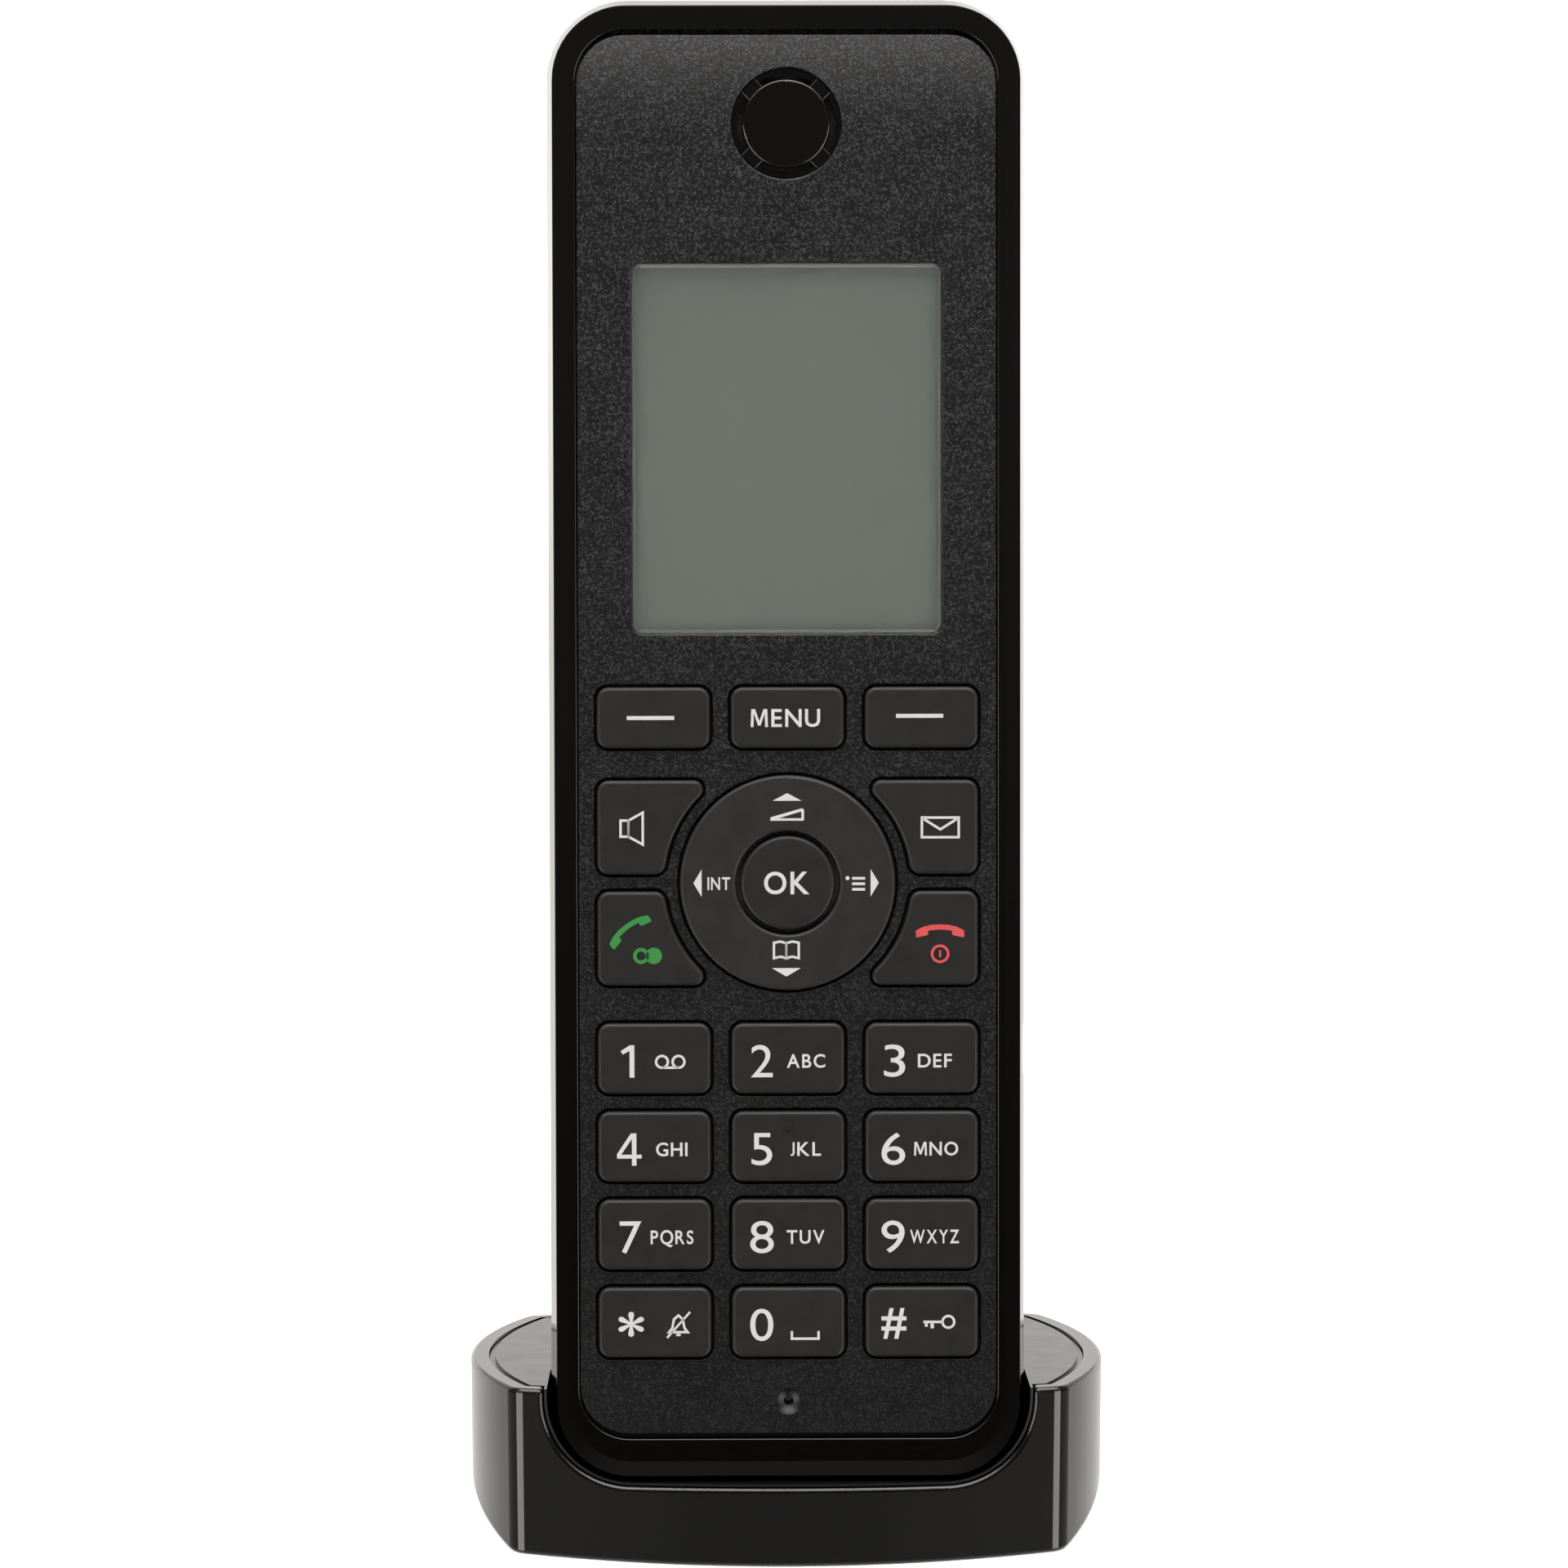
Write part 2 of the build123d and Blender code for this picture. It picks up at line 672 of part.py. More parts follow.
def base_screws():
    screws = Part()
    for x, y in BASE_SCREWS:
        head = rod(2.1, x, y, 0.55, 1.0)
        head -= cross_slot(x, y, 1.3, 0, 0.75)
        screws += head + rod(0.95, x, y, 1.0, 5.0)
    return screws


def base_pcb():
    return block(-10.5, 10.5, -24, -8, FLOOR_TOP + 0.05, FLOOR_TOP + 0.9)


def ballast_plate():
    return fillet(block(-20, 20, 2, 17, FLOOR_TOP, 4.2).edges().filter_by(Axis.Z), 2)


# ------------------------------------------------------------------ export

HANDSET_PIECES = [
    bezel_frame, front_panel, back_shell, battery_cover, display_window, display_gasket,
    lcd_panel, lcd_holder, earpiece_cap, earpiece_mesh, earpiece_speaker, keypad_mat,
    dome_sheet, main_pcb, shield_can, antenna, microphone, mic_boot, loudspeaker,
    loudspeaker_gasket, battery_pack, battery_contacts, headset_jack, handset_charge_pads,
    handset_screws, nav_ring, nav_rocker,
]
BASE_PIECES = [
    cradle_shell, cradle_insert, bottom_plate, base_pcb, ballast_plate, rubber_feet,
    base_screws, cord_grommet,
]

os.makedirs("parts", exist_ok=True)
pieces = {piece.__name__: HANDSET * piece() for piece in HANDSET_PIECES}
pieces.update({name: HANDSET * made for name, made in keys().items()})
pieces.update({piece.__name__: piece() for piece in BASE_PIECES})
pieces["charge_contact_left"] = HANDSET * charge_contact(-1)
pieces["charge_contact_right"] = HANDSET * charge_contact(1)
for name, piece in pieces.items():
    export_step(piece, f"parts/{name}.step")
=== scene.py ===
import bpy
import json
import math
from mathutils import Matrix, Vector


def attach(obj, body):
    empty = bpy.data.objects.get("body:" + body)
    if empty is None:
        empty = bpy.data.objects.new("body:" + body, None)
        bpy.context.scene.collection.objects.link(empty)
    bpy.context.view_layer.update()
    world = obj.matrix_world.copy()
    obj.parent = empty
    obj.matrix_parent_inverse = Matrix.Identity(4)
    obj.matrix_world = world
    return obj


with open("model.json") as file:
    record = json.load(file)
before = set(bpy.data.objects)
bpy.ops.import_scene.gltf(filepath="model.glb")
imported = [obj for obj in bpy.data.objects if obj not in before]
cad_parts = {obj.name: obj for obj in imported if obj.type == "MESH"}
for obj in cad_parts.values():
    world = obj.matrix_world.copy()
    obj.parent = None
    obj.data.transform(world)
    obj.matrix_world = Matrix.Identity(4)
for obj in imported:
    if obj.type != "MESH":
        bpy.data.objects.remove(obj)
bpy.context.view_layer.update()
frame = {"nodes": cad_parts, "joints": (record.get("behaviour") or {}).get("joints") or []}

# Looks of a cordless handset standing in its charging base. Everything is in metres, except the
# artwork printed on the keys, which is drawn in millimetres and scaled by MM.

MM = 0.001
NODES = frame["nodes"]


# ------------------------------------------------------------------ the handset's own axes


def joint_axis(name):
    """Direction in which a joint moves its body."""
    joint = next(j for j in frame["joints"] if j["name"] == name)
    return Vector(joint["axis"]).normalized()


ACROSS = Vector((1, 0, 0))
UP = joint_axis("handset_lift")
OUT = -joint_axis("battery_cover_off")


def reach(node, axis):
    """Lowest and highest reach of a CAD node along an axis."""
    values = [axis.dot(vertex.co) for vertex in NODES[node].data.vertices]
    return min(values), max(values)


def middle(node, axis):
    low, high = reach(node, axis)
    return (low + high) / 2


def on_handset(across, up, out):
    """Point given by its places along the handset's three axes."""
    return ACROSS * across + UP * up + OUT * out


def drawing_plane(across, up, out):
    """Places flat artwork: its x runs across the handset, its y up along it, its z out of it."""
    plane = Matrix((ACROSS, UP, OUT)).transposed().to_4x4()
    plane.translation = on_handset(across, up, out)
    return plane


# ------------------------------------------------------------------ materials


RANGE_SOCKETS = ("From Min", "From Max", "To Min", "To Max")
NOISE_LOW, NOISE_HIGH = 0.3, 0.7  # a noise pattern rarely leaves this range
FLAKE = 0.00018


class Surface:
    """A Principled material and the textures that feed it."""

    def __init__(self, name, color, roughness, **sockets):
        self.material = bpy.data.materials.new(name)
        self.material.use_nodes = True
        self.tree = self.material.node_tree
        self.shader = self.tree.nodes["Principled BSDF"]
        self.coordinates = self.tree.nodes.new("ShaderNodeTexCoord").outputs["Object"]
        self.normal = None
        self.set("Base Color", (*color, 1.0))
        self.set("Roughness", roughness)
        for socket, value in sockets.items():
            self.set(socket.replace("_", " "), value)

    def set(self, socket, value):
        self.shader.inputs[socket].default_value = value

    def link(self, source, target):
        self.tree.links.new(source, target)

    def node(self, kind, **settings):
        made = self.tree.nodes.new("ShaderNode" + kind)
        for name, value in settings.items():
            setattr(made, name, value)
        return made

    def noise(self, size, detail=2.0, stretch=(1, 1, 1)):
        """Cloudy pattern from 0 to 1 with features of about `size` metres."""
        mapping = self.node("Mapping")
        mapping.inputs["Scale"].default_value = stretch
        noise = self.node("TexNoise")
        noise.inputs["Scale"].default_value = 1 / size
        noise.inputs["Detail"].default_value = detail
        self.link(self.coordinates, mapping.inputs["Vector"])
        self.link(mapping.outputs["Vector"], noise.inputs["Vector"])
        return noise.outputs["Fac"]

    def cells(self, size, feature="F1", output="Distance"):
        """Pattern of random cells of about `size` metres."""
        cells = self.node("TexVoronoi", feature=feature)
        cells.inputs["Scale"].default_value = 1 / size
        self.link(self.coordinates, cells.inputs["Vector"])
        return cells.outputs[output]

    def spread(self, source, low, high, to_low=0.0, to_high=1.0):
        """Turns the part of a pattern from `low` to `high` into `to_low` to `to_high`."""
        ranged = self.node("MapRange")
        for name, value in zip(RANGE_SOCKETS, (low, high, to_low, to_high)):
            ranged.inputs[name].default_value = value
        self.link(source, ranged.inputs["Value"])
        return ranged.outputs["Result"]

    def vary_color(self, factor, first, second):
        """Colour that runs from the first to the second as a pattern runs from 0 to 1."""
        mix = self.node("Mix", data_type="RGBA")
        mix.inputs["A"].default_value = (*first, 1.0)
        mix.inputs["B"].default_value = (*second, 1.0)
        self.link(factor, mix.inputs["Factor"])
        self.link(mix.outputs["Result"], self.shader.inputs["Base Color"])

    def vary(self, socket, noise, low, high):
        """Lets a noise pattern run a socket's value from `low` to `high`."""
        value = self.spread(noise, NOISE_LOW, NOISE_HIGH, low, high)
        self.link(value, self.shader.inputs[socket])

    def along(self, axis, low, high):
        """Runs from 0 to 1 between two places along an axis."""
        product = self.node("VectorMath", operation="DOT_PRODUCT")
        product.inputs[1].default_value = axis
        self.link(self.coordinates, product.inputs[0])
        return self.spread(product.outputs["Value"], low, high)

    def times(self, first, second):
        product = self.node("Math", operation="MULTIPLY")
        self.link(first, product.inputs[0])
        self.link(second, product.inputs[1])
        return product.outputs["Value"]

    def relief(self, pattern, depth, sunk=False):
        """Relief of `depth` metres from hollow to top, added to any relief given before."""
        bump = self.node("Bump", invert=sunk)
        bump.inputs["Strength"].default_value = 1.0
        bump.inputs["Distance"].default_value = depth
        self.link(pattern, bump.inputs["Height"])
        if self.normal:
            self.link(self.normal, bump.inputs["Normal"])
        self.normal = bump.outputs["Normal"]
        self.link(self.normal, self.shader.inputs["Normal"])


def scaled(color, factor):
    return tuple(value * factor for value in color)


def piano_black():
    """Polished black moulding: deep gloss with faint handling haze and moulding waviness."""
    surface = Surface("piano_black", (0.001, 0.0009, 0.0008), 0.05, IOR=1.5)
    surface.vary("Roughness", surface.noise(0.012, 4.0), 0.035, 0.09)
    surface.relief(surface.noise(0.006, 1.0), 1.5e-6)
    return surface.material


def silk_black():
    """Black moulding with a silkier, slightly cloudy top than the polished pieces."""
    surface = Surface("silk_black", (0.005, 0.0048, 0.0047), 0.2, IOR=1.45)
    surface.vary("Roughness", surface.noise(0.004, 4.0), 0.19, 0.23)
    surface.relief(surface.noise(0.0015, 3.0), 5e-7)
    return surface.material


def flake_lacquer():
    """Anthracite lacquer with fine bright flakes, on a face that bows back at its upper end. The
    flakes carry painted light: they are painted brighter towards the upper end, where light from
    above makes them glint.
    """
    surface = Surface("flake_lacquer", (0.002, 0.002, 0.002), 0.42, IOR=1.44)
    low, top = reach("front_panel", UP)
    flakes = surface.spread(surface.cells(FLAKE, output="Color"), 0.5, 1.0)
    # painted light: the flakes are painted brighter towards the upper end of the face, standing in
    # for glints of light from above
    painted_light_toward_top = surface.spread(surface.along(UP, low, top), 0, 1, 0.3, 1.1)
    lacquer, flake = (0.0004, 0.0004, 0.0004), (0.037, 0.038, 0.041)
    surface.vary_color(surface.times(flakes, painted_light_toward_top), lacquer, flake)
    surface.vary("Roughness", surface.noise(0.004, 3.0), 0.38, 0.44)
    bowed_length, bow_depth = 0.011, 0.0015
    bow = surface.along(UP, top - bowed_length, top)
    surface.relief(surface.times(bow, bow), bow_depth, sunk=True)
    surface.relief(surface.noise(FLAKE, 3.0), 3e-5)
    return surface.material


def key_rubber(name, shade):
    """Soft satin lacquer over the key caps."""
    color = shade, shade * 0.97, shade * 0.93
    surface = Surface(name, color, 0.5, IOR=1.4)
    surface.vary_color(surface.noise(0.003, 3.0), color, scaled(color, 1.12))
    surface.vary("Roughness", surface.noise(0.002, 4.0), 0.44, 0.55)
    surface.relief(surface.noise(0.00012, 2.0), 2.5e-6)
    return surface.material


def grained_plastic(name, color, roughness, grain=0.00025):
    """Moulded plastic with a fine spark-eroded grain."""
    surface = Surface(name, color, roughness, IOR=1.48)
    surface.vary_color(surface.noise(0.01, 3.0), color, scaled(color, 1.15))
    surface.vary("Roughness", surface.noise(0.003, 3.0), roughness - 0.05, roughness + 0.06)
    surface.relief(surface.noise(grain, 3.0), 1e-5)
    return surface.material


def clear_window():
    """Hard-coated display window with the faintest smear."""
    surface = Surface("clear_window", (1.0, 1.0, 1.0), 0.02, IOR=1.49, Transmission_Weight=1.0)
    surface.vary("Roughness", surface.noise(0.01, 4.0), 0.0, 0.03)
    return surface.material


def unlit_display():
    """Reflective grey-green display that is switched off."""
    surface = Surface("unlit_display", (0.145, 0.168, 0.148), 0.55)
    darker, lighter = (0.144, 0.167, 0.147), (0.146, 0.169, 0.149)
    surface.vary_color(surface.noise(0.02, 2.0), darker, lighter)
    surface.vary("Roughness", surface.cells(0.00018), 0.5, 0.6)
    return surface.material


def brushed_metal(name, color, roughness):
    """Metal with fine strokes across it."""
    surface = Surface(name, color, roughness, Metallic=1.0)
    strokes = surface.noise(0.0006, 4.0, stretch=(1, 12, 1))
    surface.vary("Roughness", strokes, roughness - 0.08, roughness + 0.1)
    surface.relief(strokes, 3e-6)
    return surface.material


def soft_rubber(name, color, roughness):
    """Matt rubber or foam with an uneven skin."""
    surface = Surface(name, color, roughness)
    surface.vary_color(surface.noise(0.002, 4.0), color, scaled(color, 1.3))
    surface.vary("Roughness", surface.noise(0.001, 3.0), roughness - 0.08, roughness + 0.08)
    surface.relief(surface.noise(0.0003, 3.0), 1.5e-5)
    return surface.material


def circuit_board():
    """Green solder mask with a hint of the copper beneath."""
    surface = Surface("circuit_board", (0.01, 0.09, 0.03), 0.3, Coat_Weight=0.4)
    copper = surface.spread(surface.cells(0.0016, feature="DISTANCE_TO_EDGE"), 0.03, 0.06)
    surface.vary_color(copper, (0.02, 0.16, 0.06), (0.008, 0.075, 0.028))
    surface.relief(copper, 1e-5)
    return surface.material


def acoustic_cloth():
    """Fine woven cloth behind the earpiece."""
    surface = Surface("acoustic_cloth", (0.02, 0.014, 0.011), 0.9, Sheen_Weight=0.3)
    weave = surface.cells(0.00018)
    thread, gap = (0.03, 0.02, 0.016), (0.006, 0.005, 0.004)
    surface.vary_color(surface.spread(weave, 0.1, 0.6), thread, gap)
    surface.relief(weave, 4e-5)
    return surface.material


def printed_ink(name, color):
    """Screen-printed ink with a slightly uneven edge of coverage."""
    surface = Surface(name, color, 0.5)
    surface.vary_color(surface.noise(0.00025, 3.0), scaled(color, 0.86), color)
    surface.vary("Roughness", surface.noise(0.0008, 2.0), 0.45, 0.6)
    return surface.material


def paint_nodes():
    """Gives each CAD node the finish of the real piece."""
    gloss = piano_black()
    satin = grained_plastic("satin_black", (0.012, 0.012, 0.012), 0.36)
    board = circuit_board()
    tin = brushed_metal("tinned_sheet", (0.62, 0.62, 0.63), 0.35)
    screw = brushed_metal("dark_zinc", (0.3, 0.3, 0.31), 0.32)
    plated = brushed_metal("plated_contact", (0.83, 0.68, 0.36), 0.22)
    case = grained_plastic("transducer_case", (0.015, 0.015, 0.015), 0.5)
    foam = soft_rubber("black_foam", (0.015, 0.015, 0.015), 0.95)
    foot = soft_rubber("foot_rubber", (0.035, 0.035, 0.036), 0.8)
    silicone = soft_rubber("grey_silicone", (0.3, 0.31, 0.33), 0.6)
    finishes = {
        gloss: ["bezel_frame", "earpiece_cap", "cradle_shell"],
        silk_black(): ["cradle_insert"],
        satin: ["back_shell", "battery_cover", "bottom_plate"],
        flake_lacquer(): ["front_panel"],
        key_rubber("key_rubber", 0.0068): [name for name in NODES if name.startswith("key_")],
        key_rubber("ring_rubber", 0.0092): ["nav_ring"],
        clear_window(): ["display_window"],
        unlit_display(): ["lcd_panel"],
        acoustic_cloth(): ["earpiece_mesh"],
        board: ["main_pcb", "base_pcb"],
        tin: ["shield_can", "antenna", "microphone"],
        screw: ["handset_screws", "base_screws"],
        plated: ["handset_charge_pads", "battery_contacts",
                 "charge_contact_left", "charge_contact_right"],
        case: ["earpiece_speaker", "loudspeaker", "headset_jack"],
        foam: ["display_gasket", "loudspeaker_gasket"],
        foot: ["rubber_feet", "cord_grommet"],
        silicone: ["keypad_mat", "mic_boot"],
        grained_plastic("light_box_white", (0.7, 0.7, 0.68), 0.5): ["lcd_holder", "nav_rocker"],
        grained_plastic("dome_film", (0.55, 0.56, 0.58), 0.3): ["dome_sheet"],
        grained_plastic("battery_sleeve", (0.09, 0.13, 0.24), 0.4, 0.0006): ["battery_pack"],
        brushed_metal("ballast_steel", (0.35, 0.35, 0.36), 0.45): ["ballast_plate"],
    }
    for finish, names in finishes.items():
        for name in names:
            mesh = NODES[name].data
            mesh.materials.clear()
            mesh.materials.append(finish)


# ------------------------------------------------------------------ printed artwork, in millimetres


def circle(x, y, radius, points=28):
    turns = (2 * math.pi * step / points for step in range(points))
    return [(x + radius * math.cos(turn), y + radius * math.sin(turn)) for turn in turns]


def band(x, y, radius, width):
    """Ring whose line is `width` wide."""
    return [circle(x, y, radius + width / 2), circle(x, y, radius - width / 2)]


def mitred(points, distance, closed=True):
    """A line moved sideways, to its left if `distance` is positive, with mitred corners."""
    corners = []
    count = len(points)
    for index, point in enumerate(points):
        here = Vector(point)
        ways = []
        if closed or index:
            ways.append((here - Vector(points[index - 1])).normalized())
        if closed or index < count - 1:
            ways.append((Vector(points[(index + 1) % count]) - here).normalized())
        normals = [Vector((-way.y, way.x)) for way in ways]
        mitre = sum(normals, Vector((0, 0))).normalized()
        corners.append(tuple(here + mitre * distance / mitre.dot(normals[0])))
    return corners


def outlined(points, width):
    """Closed line of a shape."""
    return [mitred(points, -width / 2), mitred(points, width / 2)]


def stroke(points, width):
    """Open line with square ends."""
    left = mitred(points, width / 2, closed=False)
    right = mitred(points, -width / 2, closed=False)
    return [left + right[::-1]]


def bar(x, y, width, height):
    return [[(x - width / 2, y - height / 2), (x + width / 2, y - height / 2),
             (x + width / 2, y + height / 2), (x - width / 2, y + height / 2)]]


INK_HEIGHT = 0.02
INK_SUNK = 0.004  # how far the ink reaches into what it is printed on
DIGIT_WEIGHT = 0.0
LETTER_WEIGHT = 0.014
LETTER_GAP = 0.19  # between letters, as a share of their height
# Letters that differ from the built-in font's, one unit tall. A loop inside another is a hole.
DRAWN_LETTERS = {
    "1": [[(0.27, 0), (0.41, 0), (0.41, 1), (0.28, 1), (0.01, 0.82), (0.07, 0.71), (0.27, 0.83)]],
    "4": [[(0.46, 0), (0.6, 0), (0.6, 0.22), (0.76, 0.22), (0.76, 0.34), (0.6, 0.34), (0.6, 1),
           (0.43, 1), (0, 0.36), (0, 0.22), (0.46, 0.22)],
          [(0.13, 0.34), (0.46, 0.34), (0.46, 0.83)]],
    "M": [[(0, 0), (0.04, 1), (0.25, 1), (0.49, 0.33), (0.73, 1), (0.94, 1), (0.98, 0), (0.82, 0),
           (0.8, 0.76), (0.56, 0.08), (0.42, 0.08), (0.18, 0.76), (0.16, 0)]],
}


def curve_mesh(curve):
    """Thin plate that a flat curve or a letter outlines."""
    curve.extrude = INK_HEIGHT / 2
    holder = bpy.data.objects.new("holder", curve)
    bpy.context.scene.collection.objects.link(holder)
    bpy.context.view_layer.update()
    mesh = bpy.data.meshes.new_from_object(holder)
    bpy.data.objects.remove(holder)
    return mesh


def shape_mesh(loops):
    """Thin plate filled between loops, so that a loop inside another is a hole."""
    curve = bpy.data.curves.new("artwork", "CURVE")
    curve.dimensions = "2D"
    curve.fill_mode = "BOTH"
    for loop in loops:
        spline = curve.splines.new("POLY")
        spline.points.add(len(loop) - 1)
        for point, (x, y) in zip(spline.points, loop):
            point.co = (x, y, 0, 1)
        spline.use_cyclic_u = True
    return curve_mesh(curve)


def letter_mesh(letter, weight):
    """Thin plate in the shape of a letter of the built-in font, or of one drawn here."""
    if letter in DRAWN_LETTERS:
        return shape_mesh(DRAWN_LETTERS[letter])
    curve = bpy.data.curves.new("letter", "FONT")
    curve.body = letter
    curve.offset = weight
    return curve_mesh(curve)


def extent(mesh, axis):
    """Lowest and highest reach of a mesh along one of its own axes."""
    values = [vertex.co[axis] for vertex in mesh.vertices]
    return min(values), max(values)


CAP_HEIGHT = extent(letter_mesh("H", 0), 1)[1]


def lettering(text, height, x, y, width, weight=LETTER_WEIGHT):
    """Letters `height` tall, set side by side over `width` and centred on a point."""
    meshes = [letter_mesh(letter, weight) for letter in text]
    offset = 0
    for letter, mesh in zip(text, meshes):
        left, right = extent(mesh, 0)
        low, high = extent(mesh, 1)
        if letter == "Q":  # its tail hangs below the line
            low, high = 0, CAP_HEIGHT
        tall = 1 / (high - low)
        one_tall = Matrix.Diagonal((tall, tall, 1, 1))
        mesh.transform(one_tall @ Matrix.Translation((-left, -low, 0)))
        mesh.transform(Matrix.Translation((offset, -0.5, 0)))
        offset += (right - left) * tall + LETTER_GAP
    wide = width / (offset - LETTER_GAP)
    final_size = Matrix.Diagonal((wide, height, 1, 1))
    for mesh in meshes:
        mesh.transform(Matrix.Translation((x - width / 2, y, 0)) @ final_size)
    return meshes


def print_on(name, body, ink, place, artwork):
    """Joins thin plates into one piece printed on a body. `artwork` holds shapes and letters."""
    across, up, out = place
    lift = (INK_HEIGHT / 2 - INK_SUNK) * MM
    plane = drawing_plane(across, up, out + lift) @ Matrix.Scale(MM, 4)
    vertices, faces = [], []
    for item in artwork:
        mesh = item if isinstance(item, bpy.types.Mesh) else shape_mesh(item)
        start = len(vertices)
        vertices += [plane @ vertex.co for vertex in mesh.vertices]
        faces += [[start + index for index in polygon.vertices] for polygon in mesh.polygons]
    mesh = bpy.data.meshes.new(name)
    mesh.from_pydata(vertices, [], faces)
    mesh.validate()
    mesh.materials.append(ink)
    piece = bpy.data.objects.new(name, mesh)
    bpy.context.scene.collection.objects.link(piece)
    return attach(piece, body)


# ------------------------------------------------------------------ pictograms, in millimetres


LINE = 0.25  # width of the signs' usual line


def voicemail(x, y):
    return [band(x - 0.84, y, 0.6, LINE), band(x + 0.84, y, 0.6, LINE), bar(x, y - 0.6, 1.7, LINE)]


def loudspeaker_sign(x, y):
    box = [(x - 1.15, y - 0.82), (x - 0.35, y - 0.82), (x - 0.35, y + 0.82), (x - 1.15, y + 0.82)]
    horn = [(x - 0.35, y - 0.82), (x + 1.1, y - 1.62), (x + 1.1, y + 1.62), (x - 0.35, y + 0.82)]
    return [outlined(box, LINE), outlined(horn, LINE)]


def envelope_sign(x, y):
    case = [(x - 1.87, y - 1.0), (x + 1.87, y - 1.0), (x + 1.87, y + 1.0), (x - 1.87, y + 1.0)]
    flap = [(x - 1.8, y + 0.93), (x, y - 0.2), (x + 1.8, y + 0.93)]
    return [outlined(case, LINE), stroke(flap, LINE)]


def handset_sign(x, y, turn):
    """Telephone receiver seen from the side: a bowed grip with an ear piece and a mouth piece."""
    half = [(0, 0.12), (0.6, 0.09), (1.2, 0), (1.24, -0.4), (1.34, -0.46), (2.34, -0.68)]
    half += [(2.44, -0.6), (2.46, -0.02), (2.3, 0.12), (1.7, 0.4), (0.9, 0.6)]
    outline = [(0, 0.64)] + [(-px, py) for px, py in half[:0:-1]] + half
    spin = Matrix.Rotation(math.radians(turn), 2)
    return [[tuple(spin @ Vector(point) + Vector((x, y))) for point in outline]]


def power_sign(x, y):
    return [band(x, y, 0.82, 0.26), bar(x, y, 0.2, 0.7)]


def triangle(x, y, width, height):
    """Triangle pointing up, or down if its height is negative."""
    return [[(x - width / 2, y - height / 2), (x + width / 2, y - height / 2), (x, y + height / 2)]]


def arrow(x, y, width, height):
    """Triangle pointing right, or left if its width is negative."""
    return [[(x - width / 2, y - height / 2), (x + width / 2, y), (x - width / 2, y + height / 2)]]


def volume_sign(x, y):
    """Rising wedge drawn in outline, with a blunt tip."""
    outer = [(x - 1.72, y - 0.62), (x + 1.62, y - 0.62), (x + 1.72, y - 0.52), (x + 1.72, y + 0.5)]
    outer += [(x + 1.5, y + 0.64), (x - 1.68, y - 0.28)]
    inner = [(x - 0.9, y - 0.38), (x + 1.45, y - 0.38), (x + 1.45, y + 0.32)]
    return [outer, inner]


def list_sign(x, y):
    bars = [bar(x, y + 0.56 * row, 1.32, 0.27) for row in (-1, 0, 1)]
    return bars + [[circle(x - 1.12, y + 0.58, 0.21, 14)]]


def book_sign(x, y):
    left = [(x - 1.26, y - 0.86), (x - 0.6, y - 0.7), (x, y - 0.86)]
    left += [(x, y + 0.66), (x - 0.6, y + 0.84), (x - 1.26, y + 0.72)]
    right = [(2 * x - px, py) for px, py in left[::-1]]
    return [outlined(left, 0.24), outlined(right, 0.24)]


def crossed_bell(x, y):
    bell = [(x - 0.95, y - 0.72), (x - 0.62, y - 0.3), (x - 0.45, y + 0.6), (x, y + 1.0),
            (x + 0.45, y + 0.6), (x + 0.62, y - 0.3), (x + 0.95, y - 0.72)]
    slash = stroke([(x - 1.15, y - 1.3), (x + 1.2, y + 1.35)], 0.22)
    return [outlined(bell, 0.24), bar(x, y - 1.0, 0.45, 0.24), slash]


def space_sign(x, y):
    left, right, top, low = x - 1.36, x + 1.36, y + 0.46, y - 0.32
    return stroke([(left, top), (left, low), (right, low), (right, top)], LINE)


def key_sign(x, y):
    shaft = stroke([(x - 1.65, y), (x + 0.3, y)], 0.26)
    teeth = [bar(x - 1.35, y - 0.3, 0.3, 0.4), bar(x - 0.75, y - 0.38, 0.34, 0.56)]
    return [band(x + 0.9, y, 0.6, LINE), shaft] + teeth


# ------------------------------------------------------------------ legends on the keys

CAP_TOP = reach("key_1", OUT)[1]
KEY_FLANGE = 0.6 * MM  # rim of a key that the face panel hides
DIGIT_HEIGHT = 3.3
LETTER_HEIGHT = 1.4
LINE_OF_TEXT = -0.25  # middle of the legends, from the middle of the key
# Each digit with its place across the key and its width, then its letters with theirs.
DIALS = [
    ("2", -2.65, 2.2, "ABC", 1.83, 3.9), ("3", -2.76, 2.15, "DEF", 1.34, 3.45),
    ("4", -2.57, 2.5, "GHI", 1.75, 3.2), ("5", -2.69, 2.1, "JKL", 1.79, 3.1),
    ("6", -2.89, 2.4, "MNO", 1.46, 4.5), ("7", -2.48, 2.2, "PQRS", 1.75, 4.35),
    ("8", -2.69, 2.4, "TUV", 1.75, 3.85), ("9", -2.93, 2.35, "WXYZ", 1.3, 5.0),
]


def cap_place(node):
    return middle(node, ACROSS), middle(node, UP), CAP_TOP


def legend(name, ink, artwork):
    print_on("legend_" + name, "key_" + name, ink, cap_place("key_" + name), artwork)


def digit_legends(ink):
    for digit, digit_x, digit_width, letters, letters_x, letters_width in DIALS:
        artwork = lettering(digit, DIGIT_HEIGHT, digit_x, LINE_OF_TEXT, digit_width, DIGIT_WEIGHT)
        artwork += lettering(letters, LETTER_HEIGHT, letters_x, LINE_OF_TEXT, letters_width)
        legend(digit, ink, artwork)
    legend("1", ink, lettering("1", DIGIT_HEIGHT, -2.73, LINE_OF_TEXT, 1.4) + voicemail(1.62, -0.3))
    zero = lettering("0", DIGIT_HEIGHT, -2.73, LINE_OF_TEXT, 2.35, DIGIT_WEIGHT)
    legend("0", ink, zero + [space_sign(1.7, -1.36)])
    legend("star", ink, lettering("*", 2.55, -2.44, -0.15, 2.6) + crossed_bell(2.37, -0.25))
    legend("hash", ink, lettering("#", 3.15, -2.85, -0.15, 2.55) + key_sign(1.8, 0))


